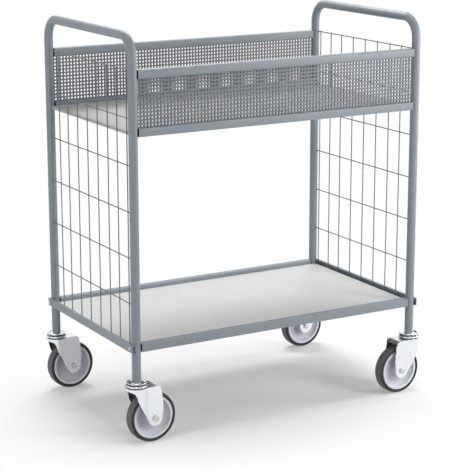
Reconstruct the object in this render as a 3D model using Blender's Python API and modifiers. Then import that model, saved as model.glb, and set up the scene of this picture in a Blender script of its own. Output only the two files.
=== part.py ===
"""Shelf trolley: two bent-tube end frames with welded wire infill, a basket
shelf with perforated sides, a rimmed lower shelf and four swivel castors.

Metres, Z up, X along the long side, front at -Y, floor at Z = 0.
"""
from math import asin, cos, pi, radians, sin, sqrt

import bmesh
import bpy

MM = 0.001
FIT_GAP = 0.3 * MM
CUT_OVERRUN = 6 * MM
MERGE_DISTANCE = 0.01 * MM
SHARP_ANGLE = radians(35)
PRESSED_ANGLE = radians(40)

POST_SPAN_X = 800 * MM
POST_SPAN_Y = 466 * MM
TUBE_DIAMETER = 22 * MM
TUBE_WALL = 1.5 * MM
HANDLE_RISE = 76 * MM
HANDLE_BEND_RADIUS = 50 * MM
HANDLE_BEND_STEPS = 6
TUBE_BEVEL_STEPS = 5

BASKET_TOP = 903 * MM
BASKET_HEIGHT = 155 * MM
LOWER_RAIL_BOTTOM = 230 * MM
RAIL_SIZE = 20 * MM
RAIL_WALL = 1.5 * MM
LEDGE_WIDTH = 14 * MM
LEDGE_THICKNESS = 2 * MM
BOARD_THICKNESS = 8 * MM
BOARD_EDGE_BEVEL = 0.8 * MM

SHEET_THICKNESS = 1.5 * MM
SHEET_HOLE_COLUMNS = 15
SHEET_HOLE_ROWS = 3
SHEET_OPEN_SHARE = 0.62

END_RAIL_WEB = 2 * MM
END_RAIL_LEDGE = 15 * MM
END_RAIL_OVERRUN = 11 * MM
END_RAIL_STANDOFF = 2.2 * MM
END_RAIL_WIRE_CLEARANCE = 0.8 * MM

WIRE_DIAMETER = 2.5 * MM
WIRE_WELD_SINK = 0.5 * MM
WIRE_ROW_OFFSET = 4.2 * MM
WIRE_ROWS = 7
WIRE_BEVEL_STEPS = 1
WIRE_COLUMN_SHARES = (0, 0.2403, 0.4807, 0.6987, 0.9185)

RAIL_BOLT_HEAD = 9 * MM
RAIL_BOLT_HEIGHT = 3.6 * MM
RAIL_BOLT_SHANK = 5 * MM
PLUG_DIAMETER = 5 * MM
PLUG_HEIGHT = 1.2 * MM
PLUG_LOW_HEIGHT = 553 * MM
PLUG_HIGH_DROP = 39 * MM

WHEEL_RADIUS = 62.5 * MM
TYRE_WIDTH = 30 * MM
TYRE_DEPTH = 9 * MM
HUB_PROUD = 5 * MM
TRAIL = 38 * MM
REST_SWIVEL = radians(3)
AXLE_DIAMETER = 8 * MM
AXLE_HEAD_ACROSS = 13 * MM
AXLE_HEAD_HEIGHT = 4.5 * MM

FORK_PLATE = 2.5 * MM
FORK_TIP_RADIUS = 19.5 * MM
FORK_TIP_STEPS = 6
FORK_TIP_ARC = (radians(14), radians(-153))
FORK_EDGE_ROUND = 3 * MM
FORK_EDGE_STEPS = 2
CROWN_CLEARANCE = 15.5 * MM
CROWN_OVERHANG = 4.9 * MM
CROWN_STEPS = 12
CROWN_SKIRT = 5.6 * MM
LIP_CLEARANCE = 1.5 * MM
LIP_POINTS = 3
CUP_RADIUS = 23 * MM
CUP_HEIGHT = 1.8 * MM
BEARING_RADIUS = 27 * MM
BEARING_HEIGHT = 5.4 * MM
RACE_RADIUS = 25.5 * MM
RACE_HEIGHT = 5.2 * MM
STEM_LENGTH = 42 * MM

WHEEL_FACETS = 24
HEAD_FACETS = 18
SMALL_FACETS = 12
PLUG_FACETS = 6

TYRE_SHARES = (
    (0.0, 0.92), (0.6, 1.0), (1.0, 0.55), (1.0, -0.55), (0.6, -1.0),
    (0.0, -0.92),
)
HUB_SHARE = 0.26
RIM_SHARES = (
    (0.36, 0.5), (0.8, 0.42), (0.92, 0.88), (1.0, 0.88),
    (1.0, -0.88), (0.92, -0.88), (0.8, -0.42), (0.36, -0.5),
)
FORK_BACK_SHARES = (
    (1.18, 1.0), (1.33, 0.96), (1.44, 0.84), (1.54, 0.58), (1.58, 0.3),
)
FORK_FRONT_SHARES = ((-0.14, 0.49), (-0.3, 0.73), (-0.46, 0.87))
RACE_SEAT_SHARE = 0.66
RACE_SHARES = (
    (0.28, 0.3), (0.57, 0.3), (0.87, 1.0), (1.0, 0.85), (0.95, 0.5),
    (0.71, 0.0),
)
BEARING_SHARES = ((0.85, 1.0), (1.0, 0.7), (1.0, 0.3), (0.85, 0.0))
DOME_SHARES = ((0.6, 0.95), (0.95, 0.45), (1.0, 0.0))

POST_X = POST_SPAN_X / 2
POST_Y = POST_SPAN_Y / 2
TUBE_RADIUS = TUBE_DIAMETER / 2
TUBE_CLEAR = TUBE_RADIUS + FIT_GAP
HANDLE_AXIS = BASKET_TOP + HANDLE_RISE
BASKET_BOTTOM = BASKET_TOP - BASKET_HEIGHT
RAIL_LENGTH = POST_SPAN_X - 2 * TUBE_CLEAR
WIRE_RADIUS = WIRE_DIAMETER / 2
WIRE_COLUMN_OFFSET = WIRE_ROW_OFFSET + WIRE_DIAMETER - WIRE_WELD_SINK
WIRE_INNER_FACE = WIRE_ROW_OFFSET - WIRE_RADIUS
WIRE_OUTER_FACE = WIRE_COLUMN_OFFSET + WIRE_RADIUS
RIM_RADIUS = WHEEL_RADIUS - TYRE_DEPTH
HUB_HALF_WIDTH = TYRE_WIDTH / 2 + HUB_PROUD
FORK_INNER_HALF = HUB_HALF_WIDTH + 2 * FIT_GAP
FORK_OUTER_HALF = FORK_INNER_HALF + FORK_PLATE
CROWN_RADIUS = FORK_OUTER_HALF + CROWN_OVERHANG
CROWN_TOP = 2 * WHEEL_RADIUS + CROWN_CLEARANCE + FORK_PLATE
CROWN_RISE = CROWN_TOP - WHEEL_RADIUS
BEARING_BOTTOM = CROWN_TOP + CUP_HEIGHT + FIT_GAP
RACE_BOTTOM = BEARING_BOTTOM + BEARING_HEIGHT + FIT_GAP
RACE_SEAT = RACE_BOTTOM + RACE_SEAT_SHARE * RACE_HEIGHT
LEG_FOOT = RACE_SEAT + FIT_GAP

CORNERS = (
    ("front_left", -1, -1), ("rear_left", -1, 1),
    ("front_right", 1, -1), ("rear_right", 1, 1),
)


def start_clean():
    for old in list(bpy.data.objects):
        bpy.data.objects.remove(old, do_unlink=True)
    for old in list(bpy.data.collections):
        bpy.data.collections.remove(old)
    parts = bpy.data.collections.new("shelf_trolley")
    cutters = bpy.data.collections.new("cutters")
    bpy.context.scene.collection.children.link(parts)
    bpy.context.scene.collection.children.link(cutters)
    return parts, cutters


PARTS, CUTTERS = start_clean()


def finish(name, colour, roughness, metallic=0.0):
    made = bpy.data.materials.new(name + "_finish")
    made.use_nodes = True
    shader = made.node_tree.nodes["Principled BSDF"]
    shader.inputs["Base Color"].default_value = (*colour, 1)
    shader.inputs["Roughness"].default_value = roughness
    shader.inputs["Metallic"].default_value = metallic
    made.diffuse_color = (*colour, 1)
    return made


def powder_coat(name):
    return finish(name, (0.33, 0.37, 0.41), 0.45)


def laminate(name):
    return finish(name, (0.66, 0.66, 0.64), 0.4)


def zinc(name):
    return finish(name, (0.78, 0.80, 0.82), 0.28, 0.9)


def grey_plastic(name):
    return finish(name, (0.45, 0.46, 0.50), 0.4)


def dark_rubber(name):
    return finish(name, (0.06, 0.06, 0.065), 0.75)


def add_part(name, data, coat):
    made = bpy.data.objects.new(name, data)
    PARTS.objects.link(made)
    data.materials.append(coat(name))
    return made


def add_cutter(name, data):
    made = bpy.data.objects.new(name, data)
    CUTTERS.objects.link(made)
    made.hide_render = True
    made.display_type = "WIRE"
    return made


def combine(target, tool, operation):
    step = target.modifiers.new(tool.name, "BOOLEAN")
    step.operation = operation
    step.solver = "EXACT"
    step.object = tool


def outline(name, loops, depth):
    """Flat shape in local XY, half its depth to each side; loops inside
    the first one are holes."""
    curve = bpy.data.curves.new(name, "CURVE")
    curve.dimensions = "2D"
    curve.fill_mode = "BOTH"
    curve.extrude = depth / 2
    for loop in loops:
        line = curve.splines.new("POLY")
        line.points.add(len(loop) - 1)
        line.use_cyclic_u = True
        line.use_smooth = False
        for point, (x, y) in zip(line.points, loop):
            point.co = (x, y, 0, 1)
    return curve


def tube(name, paths, radius, bevel_steps, capped):
    """Round bar or tube along each path of (x, y, z) points."""
    curve = bpy.data.curves.new(name, "CURVE")
    curve.dimensions = "3D"
    curve.bevel_depth = radius
    curve.bevel_resolution = bevel_steps
    curve.use_fill_caps = capped
    for path in paths:
        line = curve.splines.new("POLY")
        line.points.add(len(path) - 1)
        for point, place in zip(line.points, path):
            point.co = (*place, 1)
    return curve


def shade_round(data):
    """Smooth over the facets of round faces, sharp at real edges."""
    data.shade_smooth()
    data.set_sharp_from_angle(angle=SHARP_ANGLE)


def as_mesh(curve):
    """Solid mesh of a curve, so that Booleans can cut or join it."""
    holder = bpy.data.objects.new(curve.name, curve)
    PARTS.objects.link(holder)
    scene_state = bpy.context.evaluated_depsgraph_get()
    data = bpy.data.meshes.new_from_object(holder.evaluated_get(scene_state))
    bpy.data.objects.remove(holder, do_unlink=True)
    bm = bmesh.new()
    bm.from_mesh(data)
    bmesh.ops.remove_doubles(bm, verts=bm.verts, dist=MERGE_DISTANCE)
    bm.to_mesh(data)
    bm.free()
    shade_round(data)
    return data


def block(name, size):
    bm = bmesh.new()
    bmesh.ops.create_cube(bm, size=1)
    bmesh.ops.scale(bm, verts=bm.verts, vec=size)
    data = bpy.data.meshes.new(name)
    bm.to_mesh(data)
    bm.free()
    return data


def round_bar(name, radius, length, facets):
    bm = bmesh.new()
    bmesh.ops.create_cone(
        bm, cap_ends=True, segments=facets, radius1=radius, radius2=radius,
        depth=length)
    data = bpy.data.meshes.new(name)
    bm.to_mesh(data)
    bm.free()
    shade_round(data)
    return data


def turned(name, profile, facets, coat, ring=False):
    """Profile of (radius, height) pairs, top to bottom, turned about Z."""
    bm = bmesh.new()
    verts = [bm.verts.new((radius, 0, height)) for radius, height in profile]
    for first, second in zip(verts, verts[1:]):
        bm.edges.new((first, second))
    if ring:
        bm.edges.new((verts[-1], verts[0]))
    data = bpy.data.meshes.new(name)
    bm.to_mesh(data)
    bm.free()
    made = add_part(name, data, coat)
    turn = made.modifiers.new("turn", "SCREW")
    turn.steps = facets
    turn.render_steps = facets
    turn.use_smooth_shade = True
    turn.use_merge_vertices = True
    turn.merge_threshold = MERGE_DISTANCE
    return made


def rectangle(left, bottom, right, top):
    return ((left, bottom), (right, bottom), (right, top), (left, top))


def bend(centre_y, start, stop):
    """Quarter bend of the handle, about a centre below the bar."""
    centre_z = HANDLE_AXIS - HANDLE_BEND_RADIUS
    points = []
    for step in range(HANDLE_BEND_STEPS + 1):
        angle = start + (stop - start) * step / HANDLE_BEND_STEPS
        points.append((0, centre_y + HANDLE_BEND_RADIUS * cos(angle),
                       centre_z + HANDLE_BEND_RADIUS * sin(angle)))
    return points


def end_frame(side, x_sign):
    """One tube bent to an upside-down U; its legs end on the castors."""
    name = "end_frame_" + side
    bend_y = POST_Y - HANDLE_BEND_RADIUS
    path = [(0, -POST_Y, LEG_FOOT)]
    path += bend(-bend_y, pi, pi / 2)
    path += bend(bend_y, pi / 2, 0)
    path += [(0, POST_Y, LEG_FOOT)]
    curve = tube(name, [path], TUBE_RADIUS, TUBE_BEVEL_STEPS, False)
    made = add_part(name, curve, powder_coat)
    made.location.x = x_sign * POST_X
    wall = made.modifiers.new("tube_wall", "SOLIDIFY")
    wall.thickness = TUBE_WALL
    wall.offset = -1
    wall.use_even_offset = True


def end_mesh(side, x_sign):
    """Round wires welded where they cross: rows inside, columns outside."""
    name = "end_mesh_" + side
    low = LOWER_RAIL_BOTTOM + LEDGE_THICKNESS + FIT_GAP
    top = BASKET_TOP - WIRE_RADIUS
    pitch = (top - low - WIRE_RADIUS) / (WIRE_ROWS - 1)
    reach = POST_Y - sqrt(TUBE_CLEAR ** 2 - WIRE_INNER_FACE ** 2)
    rows = []
    for row in range(WIRE_ROWS):
        z = top - row * pitch
        rows.append(((WIRE_ROW_OFFSET, -reach, z),
                     (WIRE_ROW_OFFSET, reach, z)))
    columns = []
    for share in WIRE_COLUMN_SHARES:
        for y in {share * POST_Y, -share * POST_Y}:
            columns.append(((WIRE_COLUMN_OFFSET, y, low),
                            (WIRE_COLUMN_OFFSET, y, top + WIRE_WELD_SINK)))
    grid = as_mesh(tube(name, columns, WIRE_RADIUS, WIRE_BEVEL_STEPS, True))
    made = add_part(name, grid, powder_coat)
    made.location.x = x_sign * POST_X
    made.rotation_euler.z = 0 if x_sign > 0 else pi
    across = as_mesh(tube(name + "_rows", rows, WIRE_RADIUS,
                          WIRE_BEVEL_STEPS, True))
    tool = add_cutter(name + "_rows", across)
    tool.parent = made
    combine(made, tool, "UNION")


def along_x(made, y_sign, middle_z):
    """Turn a section so that its X points outwards and its length is X."""
    made.rotation_euler = (pi / 2, 0, y_sign * pi / 2)
    made.location = (0, y_sign * POST_Y, middle_z)


def rail_bore():
    half = RAIL_SIZE / 2 - RAIL_WALL
    return rectangle(-half, -half, half, half)


def plain_rail(name, y_sign, middle_z):
    """Square tube, open at both ends, between two legs."""
    half = RAIL_SIZE / 2
    loops = (rectangle(-half, -half, half, half), rail_bore())
    made = add_part(name, outline(name, loops, RAIL_LENGTH), powder_coat)
    along_x(made, y_sign, middle_z)


def ledge_rail(name, y_sign, middle_z):
    """Square tube with a ledge that carries a board's long edge."""
    half = RAIL_SIZE / 2
    ledge_top = LEDGE_THICKNESS - half
    ledge_end = -half - LEDGE_WIDTH
    section = ((half, half), (-half, half), (-half, ledge_top),
               (ledge_end, ledge_top), (ledge_end, -half), (half, -half))
    curve = outline(name, (section, rail_bore()), RAIL_LENGTH)
    along_x(add_part(name, curve, powder_coat), y_sign, middle_z)


def perforated_panel(name, y_sign):
    """Sheet with square holes on an even grid, between two rails."""
    height = BASKET_HEIGHT - 2 * RAIL_SIZE - 2 * FIT_GAP
    across = RAIL_LENGTH / SHEET_HOLE_COLUMNS
    down = height / SHEET_HOLE_ROWS
    half_x = across * SHEET_OPEN_SHARE / 2
    half_z = down * SHEET_OPEN_SHARE / 2
    loops = [rectangle(-RAIL_LENGTH / 2, -height / 2,
                       RAIL_LENGTH / 2, height / 2)]
    for column in range(SHEET_HOLE_COLUMNS):
        x = (column + 0.5) * across - RAIL_LENGTH / 2
        for row in range(SHEET_HOLE_ROWS):
            z = (row + 0.5) * down - height / 2
            loops.append(rectangle(x - half_x, z - half_z,
                                   x + half_x, z + half_z))
    made = add_part(name, outline(name, loops, SHEET_THICKNESS), powder_coat)
    made.rotation_euler.x = pi / 2
    made.location = (0, y_sign * POST_Y, BASKET_TOP - BASKET_HEIGHT / 2)


def board(name, rail_bottom):
    """Laminated board that lies on the ledges, between the wire grids."""
    length = POST_SPAN_X + 2 * (WIRE_INNER_FACE - FIT_GAP)
    width = POST_SPAN_Y - 2 * TUBE_CLEAR
    data = block(name, (length, width, BOARD_THICKNESS))
    made = add_part(name, data, laminate)
    made.location.z = (rail_bottom + LEDGE_THICKNESS + FIT_GAP
                       + BOARD_THICKNESS / 2)
    edge = made.modifiers.new("edge", "BEVEL")
    edge.width = BOARD_EDGE_BEVEL
    edge.segments = 1


def end_rail(side, x_sign):
    """Channel that stands off the outer side of the legs. Its upper flange
    is a narrow lip; its lower flange runs under the wires and carries the
    board."""
    name = "lower_end_rail_" + side
    web_back = TUBE_CLEAR + END_RAIL_STANDOFF
    web_face = web_back + END_RAIL_WEB
    lip = WIRE_OUTER_FACE + END_RAIL_WIRE_CLEARANCE
    deep = TUBE_CLEAR - END_RAIL_LEDGE
    upper = RAIL_SIZE - LEDGE_THICKNESS
    section = ((web_face, 0), (web_face, RAIL_SIZE), (lip, RAIL_SIZE),
               (lip, upper), (web_back, upper), (web_back, LEDGE_THICKNESS),
               (deep, LEDGE_THICKNESS), (deep, 0))
    length = POST_SPAN_Y + 2 * END_RAIL_OVERRUN
    data = as_mesh(outline(name, (section,), length))
    made = add_part(name, data, powder_coat)
    made.rotation_euler = (pi / 2, 0, 0 if x_sign > 0 else pi)
    made.location = (x_sign * POST_X, 0, LOWER_RAIL_BOTTOM)
    for end in (-1, 1):
        fit_round_leg(made, end, lip, deep)


def fit_round_leg(rail, end, lip, deep):
    """Clear a leg, stop the lower flange short of it, drill the web."""
    name = rail.name + ("_near" if end < 0 else "_far")
    leg = add_cutter(name + "_leg", round_bar(
        name, TUBE_CLEAR, RAIL_SIZE + 2 * CUT_OVERRUN, 2 * SMALL_FACETS))
    leg.location = (0, RAIL_SIZE / 2, end * POST_Y)
    leg.rotation_euler.x = pi / 2
    size = (lip - deep + CUT_OVERRUN, LEDGE_THICKNESS + 2 * CUT_OVERRUN,
            TUBE_CLEAR + END_RAIL_OVERRUN + CUT_OVERRUN)
    flange = add_cutter(name + "_flange", block(name, size))
    flange.location = (lip - size[0] / 2, LEDGE_THICKNESS / 2,
                       end * (POST_Y - TUBE_CLEAR + size[2] / 2))
    drill = add_cutter(name + "_drill", round_bar(
        name, RAIL_BOLT_SHANK / 2 + FIT_GAP, 2 * CUT_OVERRUN, SMALL_FACETS))
    drill.location = (TUBE_CLEAR + END_RAIL_STANDOFF + END_RAIL_WEB,
                      RAIL_SIZE / 2, end * POST_Y)
    drill.rotation_euler.y = pi / 2
    for tool in (leg, flange, drill):
        tool.parent = rail
        combine(rail, tool, "DIFFERENCE")


def dome(diameter, height):
    """Profile of a low domed head that sits on Z = 0."""
    points = [(0, height)]
    points += [(r * diameter / 2, z * height) for r, z in DOME_SHARES]
    return points


def rail_bolt(corner, x_sign, y_sign):
    """Dome-head bolt that holds an end rail to a leg."""
    shank = RAIL_BOLT_SHANK / 2
    depth = END_RAIL_STANDOFF + END_RAIL_WEB + FIT_GAP
    profile = dome(RAIL_BOLT_HEAD, RAIL_BOLT_HEIGHT)
    profile += [(shank, 0), (shank, -depth), (0, -depth)]
    made = turned("rail_bolt_" + corner, profile, SMALL_FACETS, zinc)
    made.rotation_euler.y = x_sign * pi / 2
    made.location = (x_sign * (POST_X + TUBE_CLEAR + depth),
                     y_sign * POST_Y, LOWER_RAIL_BOTTOM + RAIL_SIZE / 2)


def post_plug(name, x_sign, y_sign, height):
    """Small blanking plug on the outer side of a leg."""
    profile = dome(PLUG_DIAMETER, PLUG_HEIGHT) + [(0, 0)]
    made = turned(name, profile, PLUG_FACETS, powder_coat)
    made.rotation_euler.y = x_sign * pi / 2
    made.location = (x_sign * (POST_X + TUBE_CLEAR), y_sign * POST_Y, height)


def castor_head(corner, x, y):
    """Stem that plugs into the leg, in one piece with the upper race,
    whose dish opens round the leg's foot."""
    stem = TUBE_RADIUS - TUBE_WALL - FIT_GAP
    profile = [(0, RACE_SEAT + STEM_LENGTH), (stem, RACE_SEAT + STEM_LENGTH),
               (stem, RACE_SEAT), (TUBE_CLEAR, RACE_SEAT)]
    profile += [(TUBE_CLEAR + r * (RACE_RADIUS - TUBE_CLEAR),
                 RACE_BOTTOM + z * RACE_HEIGHT) for r, z in RACE_SHARES]
    profile.append((0, RACE_BOTTOM))
    made = turned("castor_head_" + corner, profile, HEAD_FACETS, zinc)
    made.location = (x, y, 0)


def bearing_ring(corner, swivel):
    profile = [(0, BEARING_BOTTOM + BEARING_HEIGHT)]
    profile += [(r * BEARING_RADIUS, BEARING_BOTTOM + z * BEARING_HEIGHT)
                for r, z in BEARING_SHARES]
    profile.append((0, BEARING_BOTTOM))
    made = turned("bearing_ring_" + corner, profile, HEAD_FACETS, zinc)
    made.parent = swivel


def fork_point(share):
    """Place in the fork's side view: X from the swivel, Z from the floor."""
    return share[0] * TRAIL, WHEEL_RADIUS + share[1] * CROWN_RISE


def fork_side():
    """Side view of the fork: skirt in front, round tip about the axle."""
    above = CROWN_TOP + CUT_OVERRUN
    ahead = -CROWN_RADIUS - CUT_OVERRUN
    back = [fork_point(share) for share in FORK_BACK_SHARES]
    front = [fork_point(share) for share in FORK_FRONT_SHARES]
    first, last = FORK_TIP_ARC
    tip = []
    for step in range(FORK_TIP_STEPS + 1):
        angle = first + (last - first) * step / FORK_TIP_STEPS
        tip.append((TRAIL + FORK_TIP_RADIUS * cos(angle),
                    WHEEL_RADIUS + FORK_TIP_RADIUS * sin(angle)))
    return ([(ahead, above), (back[0][0], above)] + back + tip + front
            + [(ahead, CROWN_TOP - CROWN_SKIRT)])


def fork_plan(radius, half):
    """Top view of the fork: round crown, then straight flanks."""
    first = asin(half / radius)
    swept = 2 * (pi - first)
    points = []
    for step in range(CROWN_STEPS + 1):
        angle = first + swept * step / CROWN_STEPS
        points.append((radius * cos(angle), radius * sin(angle)))
    return points + [(2 * TRAIL, -half), (2 * TRAIL, half)]


def under_crown():
    """Side view of the space between the plates, open below the rear lip."""
    far = 2 * CROWN_TOP
    lip = []
    for share in FORK_BACK_SHARES[:LIP_POINTS]:
        x, z = fork_point(share)
        lip.append((x - FORK_PLATE, z - FORK_PLATE))
    lip_z = 2 * WHEEL_RADIUS + LIP_CLEARANCE
    return ([(-far, CROWN_TOP - FORK_PLATE)] + lip
            + [(lip[-1][0], lip_z), (far, lip_z), (far, -far), (-far, -far)])


def fork_blank(name):
    """Outer form of the pressed sheet, with its top edge rounded over."""
    plan = fork_plan(CROWN_RADIUS, FORK_OUTER_HALF)
    made = add_cutter(name + "_blank", as_mesh(
        outline(name, (plan,), CROWN_TOP)))
    made.location.z = CROWN_TOP / 2
    edge = made.modifiers.new("pressed_edge", "BEVEL")
    edge.width = FORK_EDGE_ROUND
    edge.segments = FORK_EDGE_STEPS
    edge.angle_limit = PRESSED_ANGLE
    return made


def fork_hollow(name):
    """Room for the wheel inside the pressed sheet, down to the floor."""
    plan = fork_plan(CROWN_RADIUS - FORK_PLATE, FORK_INNER_HALF)
    made = add_cutter(name + "_hollow", as_mesh(
        outline(name, (plan,), 2 * CROWN_TOP)))
    width = 2 * (CROWN_RADIUS + CUT_OVERRUN)
    below = add_cutter(name + "_below", as_mesh(
        outline(name, (under_crown(),), width)))
    below.rotation_euler.x = pi / 2
    combine(made, below, "INTERSECT")
    return made, below


def castor_fork(corner, swivel):
    """Pressed fork: round crown whose skirt runs on into two plates, with
    a lip between them at the rear."""
    name = "castor_fork_" + corner
    side = outline(name, (fork_side(),), 2 * (CROWN_RADIUS + CUT_OVERRUN))
    made = add_part(name, as_mesh(side), zinc)
    made.rotation_euler.x = pi / 2
    made.parent = swivel
    blank = fork_blank(name)
    hollow, below = fork_hollow(name)
    below.parent = swivel
    cup_depth = CUP_HEIGHT + FORK_PLATE
    cup = add_cutter(name + "_cup", round_bar(
        name, CUP_RADIUS, cup_depth, HEAD_FACETS))
    cup.location.z = CROWN_TOP + CUP_HEIGHT - cup_depth / 2
    hole = add_cutter(name + "_hole", round_bar(
        name, AXLE_DIAMETER / 2 + FIT_GAP,
        2 * (FORK_OUTER_HALF + CUT_OVERRUN), SMALL_FACETS))
    hole.location = (TRAIL, 0, WHEEL_RADIUS)
    hole.rotation_euler.x = pi / 2
    for tool, operation in ((blank, "INTERSECT"), (hollow, "DIFFERENCE"),
                            (cup, "UNION"), (hole, "DIFFERENCE")):
        tool.parent = swivel
        combine(made, tool, operation)


def set_on_axle(made, swivel, along=0):
    """Put a turned piece on the wheel's axle, some way out along it."""
    made.parent = swivel
    made.location = (TRAIL, -along, WHEEL_RADIUS)
    made.rotation_euler.x = pi / 2


def wheel_tyre(corner, swivel):
    inner = RIM_RADIUS + FIT_GAP
    profile = [(inner + r * (WHEEL_RADIUS - inner), z * TYRE_WIDTH / 2)
               for r, z in TYRE_SHARES]
    made = turned("wheel_tyre_" + corner, profile, WHEEL_FACETS,
                  dark_rubber, ring=True)
    set_on_axle(made, swivel)


def wheel_rim(corner, swivel):
    """Hub, dished web and raised edge, as one moulding with a bore."""
    bore = AXLE_DIAMETER / 2 + FIT_GAP
    hub = HUB_SHARE * RIM_RADIUS
    profile = [(bore, HUB_HALF_WIDTH), (hub, HUB_HALF_WIDTH)]
    profile += [(r * RIM_RADIUS, z * TYRE_WIDTH / 2) for r, z in RIM_SHARES]
    profile += [(hub, -HUB_HALF_WIDTH), (bore, -HUB_HALF_WIDTH)]
    made = turned("wheel_rim_" + corner, profile, WHEEL_FACETS,
                  grey_plastic, ring=True)
    set_on_axle(made, swivel)


def hexagon_head(name):
    return round_bar(name, AXLE_HEAD_ACROSS / sqrt(3), AXLE_HEAD_HEIGHT, 6)


def axle_bolt(corner, swivel):
    """Hexagon head outside one plate, shank through plates and hub."""
    name = "axle_bolt_" + corner
    seat = FORK_OUTER_HALF + FIT_GAP
    made = add_part(name, hexagon_head(name), zinc)
    set_on_axle(made, swivel, seat + AXLE_HEAD_HEIGHT / 2)
    inside_head = seat + AXLE_HEAD_HEIGHT / 2
    shank = add_cutter(name + "_shank", round_bar(
        name, AXLE_DIAMETER / 2, inside_head + FORK_OUTER_HALF,
        SMALL_FACETS))
    set_on_axle(shank, swivel, (inside_head - FORK_OUTER_HALF) / 2)
    combine(made, shank, "UNION")


def axle_nut(corner, swivel):
    name = "axle_nut_" + corner
    seat = FORK_OUTER_HALF + FIT_GAP
    made = add_part(name, hexagon_head(name), zinc)
    set_on_axle(made, swivel, -seat - AXLE_HEAD_HEIGHT / 2)


def castor(corner, x_sign, y_sign):
    x, y = x_sign * POST_X, y_sign * POST_Y
    castor_head(corner, x, y)
    swivel = bpy.data.objects.new("swivel_" + corner, None)
    PARTS.objects.link(swivel)
    swivel.location = (x, y, 0)
    swivel.rotation_euler.z = REST_SWIVEL + (pi if x_sign > 0 else 0)
    bearing_ring(corner, swivel)
    castor_fork(corner, swivel)
    wheel_tyre(corner, swivel)
    wheel_rim(corner, swivel)
    axle_bolt(corner, swivel)
    axle_nut(corner, swivel)


def build():
    for side, x_sign in (("left", -1), ("right", 1)):
        end_frame(side, x_sign)
        end_mesh(side, x_sign)
        end_rail(side, x_sign)
    half_rail = RAIL_SIZE / 2
    for side, y_sign in (("front", -1), ("back", 1)):
        plain_rail("basket_top_rail_" + side, y_sign, BASKET_TOP - half_rail)
        perforated_panel("perforated_panel_" + side, y_sign)
        ledge_rail("basket_bottom_rail_" + side, y_sign,
                   BASKET_BOTTOM + half_rail)
        ledge_rail("lower_rail_" + side, y_sign,
                   LOWER_RAIL_BOTTOM + half_rail)
    board("upper_board", BASKET_BOTTOM)
    board("lower_board", LOWER_RAIL_BOTTOM)
    for corner, x_sign, y_sign in CORNERS:
        rail_bolt(corner, x_sign, y_sign)
        post_plug("post_plug_%s_low" % corner, x_sign, y_sign,
                  PLUG_LOW_HEIGHT)
        post_plug("post_plug_%s_high" % corner, x_sign, y_sign,
                  BASKET_TOP - PLUG_HIGH_DROP)
        castor(corner, x_sign, y_sign)


build()
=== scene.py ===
# %% [markdown]
# # A shelf trolley for the office
#
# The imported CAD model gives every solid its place. This lesson dresses those
# solids: tubes get round sections, sheets get their fine holes, castors get
# pressed forks and ball races, and each surface gets a finish built of nodes.
# Everything is in metres in the CAD model's own frame, with Z up.

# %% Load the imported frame
from math import asin, cos, pi, radians, sin, sqrt

import bmesh
import bpy
from mathutils import Matrix, Vector


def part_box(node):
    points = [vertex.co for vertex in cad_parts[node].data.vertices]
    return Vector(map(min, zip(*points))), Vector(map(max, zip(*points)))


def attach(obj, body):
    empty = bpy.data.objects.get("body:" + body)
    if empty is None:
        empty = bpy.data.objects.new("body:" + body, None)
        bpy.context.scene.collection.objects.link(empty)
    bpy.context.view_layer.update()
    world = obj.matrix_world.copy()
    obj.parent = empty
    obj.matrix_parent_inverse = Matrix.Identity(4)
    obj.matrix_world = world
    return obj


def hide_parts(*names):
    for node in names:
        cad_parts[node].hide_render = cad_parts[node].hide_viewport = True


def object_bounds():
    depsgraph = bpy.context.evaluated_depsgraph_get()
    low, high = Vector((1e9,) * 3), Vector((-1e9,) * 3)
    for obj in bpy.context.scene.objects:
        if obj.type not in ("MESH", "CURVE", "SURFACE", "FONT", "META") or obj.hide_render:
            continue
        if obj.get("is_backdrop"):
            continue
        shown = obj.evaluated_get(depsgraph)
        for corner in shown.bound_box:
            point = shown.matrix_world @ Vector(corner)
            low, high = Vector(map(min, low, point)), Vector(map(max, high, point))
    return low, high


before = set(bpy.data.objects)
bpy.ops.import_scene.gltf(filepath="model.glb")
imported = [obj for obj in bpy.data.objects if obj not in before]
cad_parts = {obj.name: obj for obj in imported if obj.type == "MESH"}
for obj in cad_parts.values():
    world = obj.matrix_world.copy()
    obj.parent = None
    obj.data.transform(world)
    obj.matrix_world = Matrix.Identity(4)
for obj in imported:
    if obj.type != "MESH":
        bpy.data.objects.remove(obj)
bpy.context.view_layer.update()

MM = 0.001

# %% [markdown]
# ## Sums on sockets
#
# A finish is mostly arithmetic on noise and masks. Written as nodes, one sum
# takes four lines. This small class wraps an output socket, so that Python's
# own operators add the Math nodes, and the sums read as sums, also those that
# start with a plain number.


# %% A socket that does sums
def operator(operation, reflected=False):
    """A method that adds one Math node."""
    def method(self, other):
        pair = (other, self) if reflected else (self, other)
        return self.math(operation, *pair)
    return method


class Value:
    def __init__(self, tree, socket):
        self.tree = tree
        self.socket = socket

    def math(self, operation, *values):
        node = self.tree.nodes.new("ShaderNodeMath")
        node.operation = operation
        for slot, value in zip(node.inputs, values):
            feed(self.tree, slot, value)
        return Value(self.tree, node.outputs[0])

    def sibling(self, name):
        """Another output of the same node."""
        return Value(self.tree, self.socket.node.outputs[name])

    __add__, __radd__ = operator("ADD"), operator("ADD", True)
    __sub__, __rsub__ = operator("SUBTRACT"), operator("SUBTRACT", True)
    __mul__, __rmul__ = operator("MULTIPLY"), operator("MULTIPLY", True)
    __truediv__, __rtruediv__ = operator("DIVIDE"), operator("DIVIDE", True)
    __gt__, __lt__ = operator("GREATER_THAN"), operator("LESS_THAN")


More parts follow.
